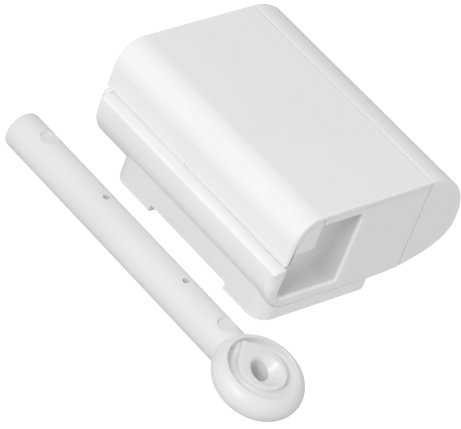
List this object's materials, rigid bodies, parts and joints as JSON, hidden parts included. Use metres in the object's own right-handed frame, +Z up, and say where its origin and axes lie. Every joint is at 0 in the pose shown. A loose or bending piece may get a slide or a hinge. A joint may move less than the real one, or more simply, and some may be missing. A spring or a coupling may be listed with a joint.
{
  "type": "toothpaste dispenser",
  "caption": "Rounded box housing with a thin slot for a tube's end, a low bracket under it and a loose round winding key with a ring handle.",
  "frame": {"origin": "middle of the bracket's underside", "axes": "+X along the housing towards its open end, +Y from the slot towards the rounded nose, +Z up from the surface that the bracket is fixed to"},
  "size_m": [0.1225, 0.1043, 0.0371],
  "materials": {
    "bracket": "satin",
    "pad": "matte foam",
    "shell": "satin",
    "bar": "satin",
    "key": "satin"
  },
  "bodies": {
    "bracket": {"wall_bracket": "bracket", "adhesive_pad_near": "pad", "adhesive_pad_far": "pad"},
    "housing": {"housing_body": "shell", "top_cover": "shell", "upper_jaw": "bar", "nose_cap": "shell"},
    "key": {"winding_key": "key"}
  },
  "joints": [
    {"name": "housing_slide", "type": "slide", "parent": "bracket", "child": "housing", "axis": [1, 0, 0], "range_m": [0, 0.055]},
    {"name": "key_turn", "type": "hinge", "parent": "bracket", "child": "key", "pos_m": [0, -0.0413, 0.0059], "axis": [1, 0, 0], "continuous": true}
  ]
}
